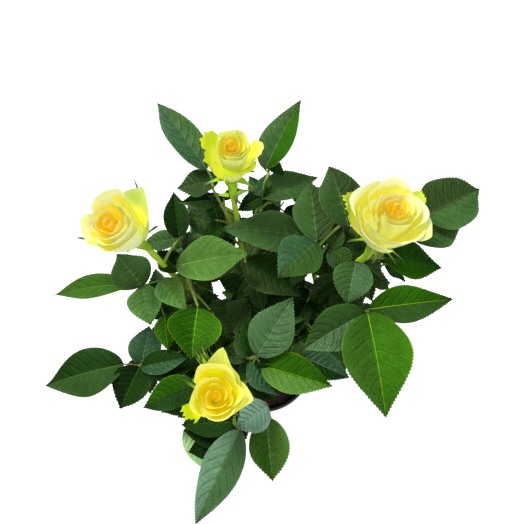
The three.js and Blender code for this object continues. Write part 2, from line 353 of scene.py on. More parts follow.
def petal_skin():
    """Inside, gold that deepens towards the heart under a narrow pale lip, partly the rose's own colour and
    partly painted shade and light deep between the petals, the pale lip partly a painted highlight; outside,
    cream; lime where tone is high. The rib value is 1 on the outer face. The emission colour is painted
    light that stands in for the light that comes through."""
    tree, n, given, out = new_group(
        "petal skin",
        [
            ("Lip", "NodeSocketColor", (0.95, 0.9, 0.5, 1)),
            ("Wall", "NodeSocketColor", (0.9, 0.7, 0.05, 1)),
            ("Heart", "NodeSocketColor", (0.9, 0.45, 0.01, 1)),
            ("Outside", "NodeSocketColor", (0.9, 0.88, 0.6, 1)),
            ("Lime", "NodeSocketColor", (0.5, 0.7, 0.01, 1)),
        ],
        [
            ("Colour", "NodeSocketColor"), ("Glow", "NodeSocketColor"),
            ("Roughness", "NodeSocketFloat"), ("Height", "NodeSocketFloat"),
        ],
    )
    along = n.value("along")
    across = n.value("across")
    layer = n.value("layer")
    cloud = n.noise(110, 2)
    lines = n.add("ShaderNodeCombineXYZ", {
        "X": n.times(across, 9.0),
        "Y": n.times(along, 1.2),
        "Z": n.times(layer, 9.0),
    }).outputs[0]
    streak = n.noise(1.6, 3, 0.6, lines)
    waver = n.scaled(cloud, 0.12, -0.06)
    depth = n.plus(along, n.plus(waver, n.scaled(streak, 0.14, -0.07)))
    # The pale lip on the rolled rim is partly the petal's own paler edge and partly a painted highlight.
    broad = n.scaled(layer, -0.16, 0.9)
    rim = n.ramp(n.minus(depth, broad), 0.0, 0.08)
    pale = n.mix(n.ramp(layer, 0.0, 0.3, 0.35, 1.0), given.outputs["Wall"], given.outputs["Lip"])
    warm = n.plus(layer, n.scaled(streak, 0.24, -0.12))
    # Partly painted: the inner petals and the low parts of each petal take the deeper Heart colour, partly
    # the rose's own deeper heart and partly painted shade between the petals with painted light that has
    # come through them.
    hot = n.ramp(warm, 0.3, 0.04)
    deep = n.times(n.ramp(depth, 0.85, 0.5), n.ramp(warm, 0.8, 0.2, 0.0, 0.4))
    wall = n.mix(n.larger(hot, deep), given.outputs["Wall"], given.outputs["Heart"])
    inside = n.mix(rim, wall, pale)
    low = n.times(n.ramp(depth, 0.55, 0.15), 0.6)
    low = n.larger(low, n.times(n.ramp(streak, 0.45, 0.75), 0.45))
    outside = n.mix(low, given.outputs["Outside"], given.outputs["Wall"])
    outside = n.mix(n.ramp(warm, 0.3, 0.06, 0.0, 0.9), outside, given.outputs["Heart"])
    colour = n.mix(n.value("rib"), inside, outside)
    lime = n.plus(n.value("tone"), n.scaled(streak, 0.4, -0.2))
    colour = n.mix(n.ramp(lime, 0.25, 0.95), colour, given.outputs["Lime"])
    # Painted light: the petal gives off its own colour as light, most on its inner face below the lip,
    # standing in for light that comes through the petals.
    inner_face = n.minus(1.0, n.value("rib"))
    through = n.times(n.ramp(along, 1.0, 0.72, 0.25, 1.0), inner_face)
    painted_glow = n.shaded(colour, n.larger(through, 0.25))
    gloss = n.scaled(streak, 0.2, 0.45)
    height = n.scaled(cloud, 0.4, streak)
    n.hand_out(out, Colour=colour, Glow=painted_glow, Roughness=gloss, Height=height)
    return tree


def new_material(name):
    """A new material, its nodes and its shader."""
    material = bpy.data.materials.new(name)
    material.use_nodes = True
    return material, Nodes(material.node_tree), material.node_tree.nodes["Principled BSDF"]


def wire(n, shader, colour, gloss, height, bump, depth):
    """Feeds a shader its colour, its gloss and a relief of a depth in metres."""
    relief = n.add("ShaderNodeBump", {"Strength": bump, "Distance": depth, "Height": height})
    for source, label in ((colour, "Base Color"), (gloss, "Roughness"), (relief.outputs[0], "Normal")):
        n.tree.links.new(source, shader.inputs[label])


def skinned(name, group, given, bump, depth, shine=0.4):
    """A material whose colour, gloss and relief come from a shared group, with the group's node."""
    material, n, shader = new_material(name)
    skin = n.add("ShaderNodeGroup", given, node_tree=group)
    colour, gloss, height = (skin.outputs[label] for label in ("Colour", "Roughness", "Height"))
    wire(n, shader, colour, gloss, height, bump, depth)
    shader.inputs["Specular IOR Level"].default_value = shine
    return material, skin


LEAF_GROUP = leaf_skin()
STEM_GROUP = stem_skin()
PETAL_GROUP = petal_skin()

# Leaf tints hold painted light and shade: each is a leaf green as it looks lit or shaded, dealt out leaf by
# leaf and half by half. The darker ones are painted shade, the lighter ones painted light, and the grey-blue
# ones (haze, blue, sage, mint) a painted sheen of the sky; under is the underside's own paler green. Each
# gives the blade, the veins, how strongly the side veins show, and how much the leaf shines.
LIT_AND_SHADED_TINTS = {
    "deep": ("#0e2c04", "#3f6a1c", 0.12, 0.06),
    "dark": ("#1e420c", "#527a2c", 0.14, 0.08),
    "rich": ("#1a4a03", "#5c9a22", 0.12, 0.08),
    "moss": ("#2e4a1a", "#6c8a44", 0.16, 0.15),
    "mid": ("#2d5316", "#769a42", 0.16, 0.15),
    "grass": ("#3a6a12", "#86b03e", 0.14, 0.1),
    "soft": ("#3b6228", "#7e9e58", 0.18, 0.2),
    "haze": ("#436e3a", "#8cac72", 0.2, 0.35),
    "light": ("#56882c", "#a4c864", 0.2, 0.2),
    "lit": ("#66a048", "#a8cc80", 0.2, 0.25),
    "bright": ("#2b6001", "#a8e018", 0.1, 0.05),
    "fresh": ("#3f7a0c", "#b8ec30", 0.1, 0.06),
    "blue": ("#2c5a30", "#7ea072", 0.2, 0.3),
    "sage": ("#68966f", "#9cc09a", 0.25, 0.4),
    "mint": ("#7eaa92", "#aecebc", 0.25, 0.4),
    "pale": ("#b0e296", "#d8f0b8", 0.2, 0.3),
    "under": ("#4f7444", "#86a866", 0.4, 0.2),
}
TINT_NAMES = list(LIT_AND_SHADED_TINTS)


def leaf_look(name, blade, vein, strength, shine):
    """One tint of leaf: a leaf green with its painted light or shade."""
    given = {"Blade": paint(blade), "Vein": paint(vein), "Vein Strength": strength}
    return skinned("leaf_" + name, LEAF_GROUP, given, 0.8, 1.2 * MM, shine)[0]


def stem_look(name, green, young, flush, amount, bump, depth):
    """A green stem or sepal with some flush and a relief of a depth in millimetres."""
    given = {"Green": paint(green), "Young": paint(young), "Flush": paint(flush), "Flush Amount": amount}
    return skinned(name, STEM_GROUP, given, bump, depth * MM)[0]


def petal_look(name, lip, wall, heart, outside, lime):
    """Thin soft petals that give off painted light: emission from their own colour stands in for the light
    that passes through them.
    """
    given = {
        "Lip": paint(lip), "Wall": paint(wall), "Heart": paint(heart), "Outside": paint(outside),
        "Lime": paint(lime),
    }
    material, skin = skinned("petal_" + name, PETAL_GROUP, given, 0.4, 0.5 * MM, 0.2)
    shader = material.node_tree.nodes["Principled BSDF"]
    # Painted light: the petal's own colour feeds its emission, so the petals give off light though they are
    # no lamp.
    material.node_tree.links.new(skin.outputs["Glow"], shader.inputs["Emission Color"])
    for label, value in (
        ("Emission Strength", 0.24), ("Subsurface Weight", 0.15),
        ("Subsurface Radius", (1.0, 0.9, 0.5)), ("Subsurface Scale", 4 * MM),
    ):
        shader.inputs[label].default_value = value
    return material


LEAF_LOOKS = [leaf_look(name, *tint) for name, tint in LIT_AND_SHADED_TINTS.items()]
BARK = stem_look("cane_bark", "#4c7420", "#a6cc1c", "#6e5230", 0.6, 0.5, 0.5)
STALK = stem_look("leaf_stalk", "#4e7222", "#9cc020", "#6c4426", 0.7, 0.25, 0.3)
SEPAL = stem_look("sepal_green", "#33481c", "#a0cc1c", "#56501c", 0.5, 0.25, 0.3)
THORN = stem_look("thorn_red", "#9a6a45", "#b08a5a", "#7d3a2a", 0.8, 0.2, 0.2)
PETALS = {
    "left": petal_look("left", "#f0f0a8", "#eee444", "#f0cc10", "#e6ebb4", "#bdd356"),
    "back": petal_look("back", "#ecf078", "#e8e638", "#f0ce0c", "#eaf09a", "#bcd012"),
    "right": petal_look("right", "#f2f2b6", "#e8e24c", "#f0d01c", "#e4e898", "#bcd01c"),
    "front": petal_look("front", "#f2f06c", "#eae012", "#eed60c", "#e6e688", "#bacf02"),
}


# ---------------------------------------------------------------- leaf blades

UNDER = TINT_NAMES.index("under")

# Where the points of a blade lie across it, from one edge, -1, past the midrib to the other, 1.
HALF_COLUMNS = [0.06, 0.26, 0.47, 0.68, 0.88, 1.0]
FINE_COLUMNS = np.array([-c for c in reversed(HALF_COLUMNS)] + HALF_COLUMNS)
PLAIN_COLUMNS = np.array([-1, -0.7, -0.35, -0.06, 0.06, 0.35, 0.7, 1.0])

# The length of a tooth, the fewest teeth on a fine blade's side, and the teeth on a plain one's.
TOOTH = 1.9 * MM
FEWEST_TEETH = 9
PLAIN_TEETH = 10

# A blade is widest at this share of its length. Its outline waves by a share of its width, and its
# panels and ripples stand up by shares of its width.
WIDEST = 0.41
WAVE = 0.05
PANEL = 0.086
RIPPLE = 0.045

# How deep the midrib is sunk, and how thick a blade is inside and at its edge.
RIB_SINK = 0.45 * MM
BLADE_THICK = 0.25 * MM
EDGE_THICK = 0.02 * MM


def local_axes(heading, lift, roll):
    """Forward, left and up for something that points along heading, lifted and rolled, in degrees."""
    h, l, r = math.radians(heading), math.radians(lift), math.radians(roll)
    forward = np.array([math.cos(h) * math.cos(l), math.sin(h) * math.cos(l), math.sin(l)])
    left = np.array([-math.sin(h), math.cos(h), 0])
    up = np.cross(forward, left)
    return forward, left * math.cos(r) + up * math.sin(r), up * math.cos(r) - left * math.sin(r)


def leaf_blade(shape, base, heading, lift, length, width, tint, fold=10, roll=0, curl=20, fine=True,
               luck=dice):
    """One leaflet from its foot to its tip: ovate, toothed, folded on its midrib, quilted and curled.
    Its tint is one name, or two with a stroke between them for its left and right halves, so that
    the light and shade painted on the two sides of its fold can differ."""
    teeth = max(FEWEST_TEETH, round(length / TOOTH)) if fine else PLAIN_TEETH
    across = FINE_COLUMNS if fine else PLAIN_COLUMNS
    rows = 2 * teeth + 1
    along = np.linspace(0, 1, rows)[:, None]
    side = np.abs(across)[None, :]
    swell = np.sin(np.pi * np.clip(along, 0, 1) ** 0.78)
    outline = np.maximum(swell, 0) ** np.where(along < WIDEST, 0.72, 1.12)
    outline = np.maximum(outline, 0.01)
    outline = outline * (1 + WAVE * np.sin(along * luck.uniform(4, 8) + luck.uniform(0, 6)))
    notch = np.array([luck.uniform(0.5, 1.0) for _ in range(rows)])[:, None]
    margin = (side > 0.99) * smooth(0.04, 0.14, along) * smooth(1.0, 0.96, along)
    peak = (np.arange(rows) % 2)[:, None]
    tooth_depth = min(0.55 * MM, 0.05 * width) if fine else 0.04 * width
    y = across[None, :] * outline * width / 2
    y = y + np.sign(across)[None, :] * margin * (peak - 0.4) * notch * tooth_depth
    x = (along + margin * peak * notch * 0.5 / teeth) * length + np.zeros_like(y)
    phase = along * SIDE_VEINS - side * (VEIN_SWEEP + VEIN_HOOK * side)
    pillow = np.abs(np.cos(np.pi * phase)) ** 1.15
    rim_fade = (1 - side ** 5) * np.sin(np.pi * along) ** 0.5
    z = np.abs(y) * math.tan(math.radians(fold)) * (1 - 0.3 * side ** 2)
    z += PANEL * width * (pillow - 0.5) * rim_fade * smooth(0.02, 0.3, side)
    z += RIPPLE * width * np.sin(along * luck.uniform(6, 11) + across * 2 + luck.uniform(0, 6)) * side ** 2
    z -= RIB_SINK * (side < 0.1)
    turn = math.radians(curl)
    bend = turn * along
    line_x, line_z = length / turn * np.sin(bend), -length / turn * (1 - np.cos(bend))
    extra = x - along * length
    px = line_x + extra * np.cos(bend) + z * np.sin(bend)
    pz = line_z - extra * np.sin(bend) + z * np.cos(bend)
    tilt = turn / 2
    px, pz = px * math.cos(tilt) - pz * math.sin(tilt), px * math.sin(tilt) + pz * math.cos(tilt)
    forward, left, up = local_axes(heading, lift, roll)
    top = np.asarray(base) + px[..., None] * forward + y[..., None] * left + pz[..., None] * up
    thick = BLADE_THICK * (1 - side ** 6) + EDGE_THICK
    bottom = top - thick[..., None] * up
    rib = y / MM
    tone = luck.uniform(0.2, 0.8)
    # Painted light and shade: each half of the blade can take its own tint, lit or shaded as light falls on
    # that side of the fold.
    halves = [TINT_NAMES.index(name) for name in tint.split("/")]
    middle = len(across) // 2
    look = np.array([halves[-1]] * (middle - 1) + [halves[0]] * (len(across) - middle))
    shape.grid(top, look[None, :], across=across[None, :], rib=rib, tone=tone)
    shape.grid(bottom, UNDER, turned=True, across=across[None, :], rib=rib, tone=tone)


# ---------------------------------------------------------------- stems and stalks

def tube(shape, points, radii, sides, relief=None, tone=0.5):
    """A round limb through points, with its own radius at each, and closed at both ends."""
    points = np.asarray(points, float)
    radii = np.broadcast_to(radii, len(points))
    run = np.gradient(points, axis=0)
    side = unit(np.cross(run[0], [0.3, 0.9, 0.2]))
    rings = []
    for at, way, radius in zip(points, run, radii):
        way = unit(way)
        side = unit(side - way * np.dot(side, way))
        other = np.cross(way, side)
        turn = np.arange(sides) / sides * math.tau
        ring = np.outer(np.cos(turn), side) + np.outer(np.sin(turn), other)
        swell = radius if relief is None else radius * (1 + relief(at, ring))[:, None]
        rings.append(at + ring * swell)
    body = np.array(rings)
    shape.grid(body, closed=True, turned=True, tone=tone)
    for end, flip in ((0, False), (-1, True)):
        cap = np.array([body[end], np.broadcast_to(points[end], body[end].shape)])
        end_tone = tone[end] if np.ndim(tone) else tone
        shape.grid(cap, closed=True, turned=flip, tone=end_tone)


def curve(points, count):
    """A number of points on a smooth line through a few points."""
    points = np.asarray(points, float)
    knots = np.linspace(0, len(points) - 1, count)
    padded = np.vstack([2 * points[0] - points[1], points, 2 * points[-1] - points[-2]])
    found = []
    for knot in knots:
        i = min(int(knot), len(points) - 2)
        t = knot - i
        a, b, c, d = padded[i:i + 4]
        found.append(0.5 * (2 * b + (c - a) * t + (2 * a - 5 * b + 4 * c - d) * t ** 2
                            + (3 * b - a - 3 * c + d) * t ** 3))
    return np.array(found)


# Corners of a packed limb that are further apart than this along it are on different rings.
RING_GAP = 2 * MM


def limb_line(node):
    """The middle line of a packed limb and its radius along it, found ring by ring."""
    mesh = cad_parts[node].data
    corners = np.unique(np.round(np.array([v.co[:] for v in mesh.vertices]), 6), axis=0)
    low, high = corners[corners[:, 2].argmin()], corners[corners[:, 2].argmax()]
    way = unit(high - low)
    order = np.argsort(corners @ way)
    corners = corners[order]
    gaps = np.diff(corners @ way) > RING_GAP
    rings = [r for r in np.split(corners, np.where(gaps)[0] + 1) if len(r) >= 6]
    middles = np.array([r.mean(0) for r in rings])
    radii = np.array([np.linalg.norm(r - m, axis=1).max() for r, m in zip(rings, middles)])
    return middles, radii


LIMBS = {n: limb_line(n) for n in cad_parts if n.startswith(("cane_", "bough_"))}

# The spots along a limb from which a stalk may start.
LIMB_SPOTS = 40


def nearest_on_limbs(point, names=None, below=None):
    """The spot on the limbs nearest to a point, and under a level where one is given."""
    nearest, shortest = None, math.inf
    for name in names or LIMBS:
        line = curve(LIMBS[name][0], LIMB_SPOTS)
        if below is not None:
            line = line[line[:, 2] < below]
        if not len(line):
            continue
        far = np.linalg.norm(line - point, axis=1)
        if far.min() < shortest:
            shortest = far.min()
            nearest = line[far.argmin()]
    return nearest


def bark_relief(at, ring):
    """How far the bark stands up around a ring, as shares of the radius."""
    return np.array([
        0.05 * noise.noise(Vector(at * 260 + r * 1.3)) + 0.03 * noise.noise(Vector(at * 900 + r * 3))
        for r in ring
    ])


# Rings on a limb lie this far apart. A cane swells by a share of its radius at each node.
RING_STEP = 2.2 * MM
NODE_STEP = 27 * MM
FIRST_NODE = 13 * MM
NODE_REACH = 2.2 * MM
NODE_SWELL = 0.2
BOUGH_TONE = 0.35


def grow_limbs():
    """The canes and boughs with swollen nodes and fine bark relief."""
    shape = Shape()
    for name, (middles, radii) in LIMBS.items():
        long = np.linalg.norm(middles[-1] - middles[0])
        count = max(16, round(long / RING_STEP))
        line = curve(middles, count)
        share = np.linspace(0, 1, count)
        radius = np.interp(share, np.linspace(0, 1, len(radii)), radii)
        sides, tone = 10, BOUGH_TONE
        if name.startswith("cane"):
            from_node = share * long % NODE_STEP - FIRST_NODE
            radius = radius * (1 + NODE_SWELL * np.exp(-(from_node / NODE_REACH) ** 2))
            sides, tone = 14, smooth(0.72, 0.97, share)[:, None]
        tube(shape, line, radius, sides, relief=bark_relief, tone=tone)
    shape.build("canes_and_boughs", [BARK], list(LIMBS))


# Thorns sit at some of the spots along a cane, and start a little inside its bark.
CANE_SPOTS = 60
THORN_SPOTS = range(14, 50, 3)
THORN_ROOT = 0.85


def grow_thorns():
    """Small hooked thorns along each cane, clear of its foot and its neck."""
    shape = Shape()
    for name, (middles, radii) in LIMBS.items():
        if not name.startswith("cane"):
            continue
        line = curve(middles, CANE_SPOTS)
        for step in THORN_SPOTS:
            at = line[step]
            way = unit(line[step + 1] - line[step])
            turn = dice.uniform(0, math.tau)
            out = unit(np.cross(way, [math.cos(turn), math.sin(turn), 0.1]))
            radius = np.interp(step / CANE_SPOTS, np.linspace(0, 1, len(radii)), radii)
            root = at + out * radius * THORN_ROOT
            long = dice.uniform(2.2, 3.8) * MM
            spine = [root, root + out * long * 0.6 - way * long * 0.08, root + out * long - way * long * 0.4]
            tube(shape, curve(spine, 6), np.linspace(0.95, 0.06, 6) * MM, 7, tone=dice.random())
    shape.build("thorns", [THORN])


# ---------------------------------------------------------------- sprays that show

# For each mass: where its leaf joint lies as shares of its box, and its leaflets. Each leaflet has its
# start from the joint in mm, heading, lift, length and width in mm, the tint of the blade or of its left
# and right halves, with the light and shade on each painted in, and its fold, roll and curl where they
# are not the usual ones.
SPRAYS = {
    "leaves_top_left": ((0.84, 0.13, 0.75), [
        ((-4, 7, 2), 124, -3, 71, 25, "blue/soft", 10, 4, 22),
        ((4, 1, -2), 180, -20, 33, 20, "moss", 8, -8, 16),
    ]),
    "leaves_under_top": ((0.78, 0.44, 0.68), [
        ((1, 3, 2), 179, -7, 32, 14, "soft/deep", 8, 0, 18),
    ]),
    "leaves_top_right": ((0.21, 0.15, 0.48), [
        ((-3, 3, 0), 62, 14, 58, 27, "soft/bright", 24, -14, 12),
        ((-5, -13, -10), 116, -15, 23, 11, "blue/dark", 8),
        ((-5, -13, -10), 78, -11, 24, 11, "blue/dark", 8),
        ((-1, 13, -4), 326, -23, 17, 10, "rich", 8),
        ((-5, -13, -11), 206, -15, 20, 15, "dark/deep", 8, 0, 18),
    ]),
    "leaves_upper_right": ((0.19, 0.39, 0.62), [
        ((-5, -1, 2), 22, -5, 50, 23, "soft", 10, 0, 24),
        ((14, -9, -7), 348, -14, 24, 16, "dark", 8),
    ]),
    "leaves_behind_right": ((0.64, 0.17, 0.5), [
        ((2, -4, 2), 104, 5, 49, 32, "soft/moss", 16, 0, 30),
        ((-18, 16, -4), 61, 14, 18, 14, "soft/moss", 8),
    ]),
    "leaves_centre_right": ((0.85, 0.42, 0.45), [
        ((2, -2, 2), 95, 4, 46, 30, "soft/moss", 12, 0, 22),
        ((-7, 5, -4), 176, 2, 58, 31, "soft", 8, 0, 18),
        ((1, -4, 4), 225, 3, 38, 31, "mid/blue", 14, 0, 22),
    ]),
    "leaves_upper_left": ((0.38, 0.36, 0.6), [
        ((0, -1, 2), 100, 6, 37, 20, "deep/dark"),
        ((0, -1, 1), 186, -11, 29, 17, "soft", 10, 0, 18),
        ((3, 21, -6), 344, -5, 43, 24, "moss/mid", 8),
    ]),
    "leaves_light_left": ((0.15, 0.45, 0.29), [
        ((-4, -1, 0), 6, 11, 54, 32, "light", 10, 0, 22),
        ((-4, 0, -14), 134, -6, 26, 18, "dark/deep", 8, 0, 18),
    ]),
    "leaves_far_left": ((0.68, 0.52, 0.69), [
        ((0, -1, 2), 131, -5, 36, 32, "mid"),
        ((-7, 1, 2), 182, -17, 72, 21, "grass", 12, 12, 26),
        ((0, -2, 2), 285, -8, 29, 27, "lit", 14),
        ((14, 1, 9), 312, 12, 34, 20, "light/lit", 12),
    ]),
    "leaves_mid_left": ((0.59, 0.79, 0.8), [
        ((0, -1, 0), 263, -22, 37, 38, "fresh/bright", 10, 0, 26),
        ((-26, -3, -14), 276, -25, 26, 16, "bright/fresh"),
    ]),
    "leaves_lower_left": ((0.63, 0.5, 0.72), [
        ((-11, 1, 1), 192, -14, 67, 35, "mid/dark", 10, 0, 24),
        ((1, -1, 1), 247, -9, 33, 31, "dark/deep", 8),
        ((2, -1, 1), 10, 9, 37, 19, "dark/blue"),
        ((1, 2, -5), 85, -8, 31, 27, "blue", 8),
    ]),
    "leaves_left_front": ((0.71, 0.68, 0.64), [
        ((1, -2, 1), 205, -11, 41, 24, "dark/bright", 12, 0, 22),
        ((-33, 7, -8), 11, -7, 36, 18, "dark/deep", 8, 0, 18),
        ((5, -11, -4), 199, -21, 33, 16, "dark/rich", 8),
    ]),
    "leaves_centre": ((0.2, 0.41, 0.55), [
        ((1, 0, 2), 57, 13, 47, 30, "haze", 12),
        ((-4, 0, -3), 99, -12, 30, 12, "dark/deep"),
        ((-6, -1, -3), 109, -10, 24, 12, "moss/deep"),
        ((-4, -2, -1), 311, -20, 32, 21, "deep/blue", 14),
        ((4, -6, -3), 343, 5, 50, 28, "bright/light", 14),
        ((-6, -13, -9), 324, -20, 25, 16, "dark/deep", 8),
        ((-29, 24, -23), 47, 0, 35, 22, "soft/moss"),
        ((-17, 22, -18), 58, -2, 25, 13, "moss/mid"),
    ]),
    "leaves_centre_back": ((0.36, 0.76, 0.64), [
        ((-2, 1, 0), 330, -9, 50, 28, "dark/moss", 14),
        ((1, -16, -19), 148, -4, 30, 16, "dark", 8, 0, 18),
    ]),
    "leaves_right_small": ((0.31, 0.53, 0.63), [
        ((-10, 12, 1), 74, 3, 22, 13, "moss"),
        ((-10, 12, 1), 319, -3, 19, 14, "mid"),
        ((-12, 13, -2), 294, -15, 17, 10, "mid/haze"),
        ((4, -2, 12), 256, -12, 30, 28, "haze/soft", 12, 0, 22),
        ((11, 3, 0), 320, -17, 19, 17, "soft/dark", 8),
    ]),
    "leaves_right_bright": ((0.2, 0.6, 0.65), [
        ((-2, 0, 1), 353, -10, 43, 29, "rich/bright", 12, -6, 22),
    ]),
    "leaves_far_right": ((0.16, 0.2, 0.63), [
        ((3, 7, 4), 30, -7, 56, 44, "moss/soft", 14, 0, 24),
        ((-5, -6, 0), 19, -9, 44, 31, "soft"),
    ]),
    "leaves_right_front": ((0.42, 0.75, 0.69), [
        ((1, 1, 2), 9, -8, 60, 24, "bright/mid", 10, 6, 22),
        ((-1, -1, 0), 209, -6, 48, 30, "haze/mid", 8),
        ((-1, -2, 5), 277, -7, 66, 42, "fresh/grass", 16, 0, 24),
    ]),
    "leaves_lower_right": ((0.25, 0.51, 0.67), [
        ((2, -5, 12), 338, -14, 36, 20, "blue/dark", 8),
    ]),
    "leaves_front_blue": ((0.61, 0.64, 0.7), [
        ((2, -2, 0), 214, -20, 27, 24, "mint"),
    ]),
    "leaves_front_right": ((0.48, 0.76, 0.71), [
        ((-3, 0, 1), 276, -14, 43, 29, "light/grass", 10, 0, 22),
    ]),
    "leaves_front_long": ((0.8, 0.81, 0.87), [
        ((3, -3, 1), 243, -22, 72, 27, "haze/sage", 14, 0, 22),
    ]),
    "leaves_front_mint": ((0.46, 0.75, 0.72), [
        ((-6, -4, -1), 301, -20, 42, 17, "pale", 20, 24, 30),
    ]),
    "leaves_front_dark": ((0.81, 0.61, 0.73), [
        ((7, 1, 10), 182, -14, 42, 20, "dark", 8, 0, 18),
        ((0, -6, 0), 176, -14, 34, 22, "deep/dark", 8, 0, 18),
        ((-5, -12, -5), 195, -17, 26, 18, "deep", 8, 0, 18),
    ]),
}

# Masses whose stalk leaves a limb that is not simply the nearest one.
SPRAY_LIMBS = {
    "leaves_under_top": ["cane_back"],
    "leaves_centre_back": ["cane_back", "cane_left"],
    "leaves_right_front": ["cane_short"],
    "leaves_right_bright": ["cane_right"],
}

# A leaflet that starts further than this from its joint, in mm, has a stalk of its own from a limb.
OWN_STALK = 20

# A stalk leaves its limb at least this far below its end.
STALK_RISE = 4 * MM

stalks = Shape()


def stalk_to(start, end, thick=1.3, thin=0.75, arch=0.12, tone=0.5):
    """A leaf stalk that leaves upwards and arches over to its end."""
    start, end = np.asarray(start), np.asarray(end)
    middle = (start + end) / 2
    middle[2] += arch * np.linalg.norm(end - start)
    line = curve([start, middle, end], 12)
    tube(stalks, line, np.linspace(thick, thin, 12) * MM, 7, tone=tone)
    return line


def grow_sprays():
    """The leaves that show from above, each on a stalk from the nearest limb."""
    for mass, (shares, leaflets) in SPRAYS.items():
        joint = share_of(mass, shares)
        shape = Shape()
        root = nearest_on_limbs(joint, SPRAY_LIMBS.get(mass), below=joint[2] - STALK_RISE)
        stalk_to(root, joint, 1.2, 0.9)
        for start, heading, lift, length, width, tint, *bends in leaflets:
            base = joint + np.array(start) * MM
            own = np.linalg.norm(start) > OWN_STALK
            origin = nearest_on_limbs(base, below=base[2] - STALK_RISE) if own else joint
            stalk_to(origin, base, 0.85, 0.6, 0.05, 0.0)
            leaf_blade(shape, base, heading, lift, length * MM, width * MM, tint, *bends)
        shape.build(mass.replace("leaves", "blades"), LEAF_LOOKS, [mass])


# ---------------------------------------------------------------- leaves lower down

LOWER = [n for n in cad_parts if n.startswith("leaves_") and n not in SPRAYS]

# The stretch of ground plan, in mm, that stays clear so that the pot's rim shows at the front.
CLEAR_X = (-2, 46)
CLEAR_Y = (-84, -34)


def hides_rim(base, heading, size):
    """Whether a leaflet would cover the stretch of the pot's rim that shows at the front."""
    way = np.array([math.cos(math.radians(heading)), math.sin(math.radians(heading))])
    for share in (0.0, 0.5, 1.0):
        x, y = (base[:2] + way * size * share) / MM
        if CLEAR_X[0] < x < CLEAR_X[1] and CLEAR_Y[0] < y < CLEAR_Y[1]:
            return True
    return False


# Where the plant is looked at from: in front of the pot, high above its rim.
EYE = np.array([0, -99 * MM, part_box("pot")[1][2] + 499 * MM])

# Gaps in the crown where the floor shows from above in front: x, y and reach in mm at the gap level.
GAP_LEVEL = 200 * MM
GAPS = [(21, 111, 6), (-42, 130, 5.5), (-63, 93, 5), (-26, 111, 3), (-37, 34, 2)]


def in_a_gap(point):
    """Whether a point stands in one of the gaps, in line with the eye."""
    x, y = (EYE + (point - EYE) * (EYE[2] - GAP_LEVEL) / (EYE[2] - point[2]))[:2] / MM
    return any(math.hypot(x - gap_x, y - gap_y) < reach for gap_x, gap_y, reach in GAPS)


def lower_blade(shape, base, heading, lift, size, width, *rest):
    """A plain leaflet. Where it would close a gap it goes into a spare shape, which is never built."""
    way, left, _ = local_axes(heading, lift, 0)
    for share in np.linspace(0.06, 0.94, 8):
        for side in np.linspace(-0.5, 0.5, 5):
            if in_a_gap(base + way * size * share + left * width * side * math.sin(math.pi * share)):
                shape = Shape()
    leaf_blade(shape, base, heading, lift, size, width, *rest)


# Each pair of leaflets under the end one: the point of the stalk it grows from, of 12, and its size as
# a share of the end one's. Then how wide the end leaflet and the others are for their length.
LEAFLET_PAIRS = [(9, 0.88), (6, 0.7)]
END_WIDTH = 0.58
PAIR_WIDTH = 0.6


def compound_leaf(shape, root, target, size, tint, luck):
    """A whole leaf of five leaflets on an arching stalk from root to target."""
    if hides_rim(target, 0, 0):
        return
    line = stalk_to(root, target, 1.15, 0.7, 0.14, luck.uniform(0, 0.6))
    run = unit(line[-1] - line[-3])
    heading = math.degrees(math.atan2(run[1], run[0]))
    droop = luck.uniform(-34, -6)
    if not hides_rim(line[-1], heading, size):
        lower_blade(shape, line[-1], heading, droop, size, size * END_WIDTH, tint, luck.uniform(8, 20),
                    luck.uniform(-14, 14), luck.uniform(18, 44), False, luck)
    for step, scale in LEAFLET_PAIRS:
        long = size * scale
        for side in (-1, 1):
            turn = heading + side * luck.uniform(52, 72)
            if hides_rim(line[step], turn, long):
                continue
            lower_blade(shape, line[step], turn, luck.uniform(-32, 2), long, long * PAIR_WIDTH, tint,
                        luck.uniform(8, 18), side * luck.uniform(-4, 22), luck.uniform(18, 40), False, luck)


# Tints for leaves deep in the crown, around its sides and along its lower edge: the dark inner ones are
# painted shade deep in the crown, and the lighter skirt ones are painted light against the shade under it.
INNER_SHADE_TINTS = ["dark/deep", "dark", "dark/moss", "mid/moss", "rich/dark", "moss/mid"]
OUTER_TINTS = ["dark/mid", "mid", "mid/soft", "moss/mid", "soft/moss"]
SKIRT_TINTS = ["mid", "mid/soft", "grass/mid", "soft", "grass"]


def mass_tints(mass):
    """The tints that a lower mass is dealt."""
    if "skirt" in mass:
        return SKIRT_TINTS
    return INNER_SHADE_TINTS if "inner" in mass else OUTER_TINTS


# Leaves in a lower mass, and the turn between them in degrees.
LEAVES_PER_MASS = 8
LEAF_TURN = 38


def grow_lower_leaves():
    """Leaves that fill each lower mass, grown outwards from the limbs by seeded chance."""
    for number, mass in enumerate(sorted(LOWER)):
        luck = random.Random(100 + number)
        low, high = (np.array(c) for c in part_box(mass))
        middle, half = (low + high) / 2, (high - low) / 2
        shape = Shape()
        outward = math.degrees(math.atan2(middle[1], middle[0]))
        tints = mass_tints(mass)
        for k in range(LEAVES_PER_MASS):
            fan = (k - (LEAVES_PER_MASS - 1) / 2) * LEAF_TURN
            turn = math.radians(outward + fan + luck.uniform(-14, 14))
            share = luck.uniform(0.2, 0.62)
            reach = np.array([math.cos(turn) * half[0], math.sin(turn) * half[1], 0]) * share
            target = middle + reach + np.array([0, 0, luck.uniform(-1.5, 1.0) * half[2]])
            root = nearest_on_limbs(target, below=target[2] - 10 * MM)
            compound_leaf(shape, root, target, luck.uniform(24, 34) * MM, luck.choice(tints), luck)
        shape.build(mass.replace("leaves", "blades"), LEAF_LOOKS, [mass])


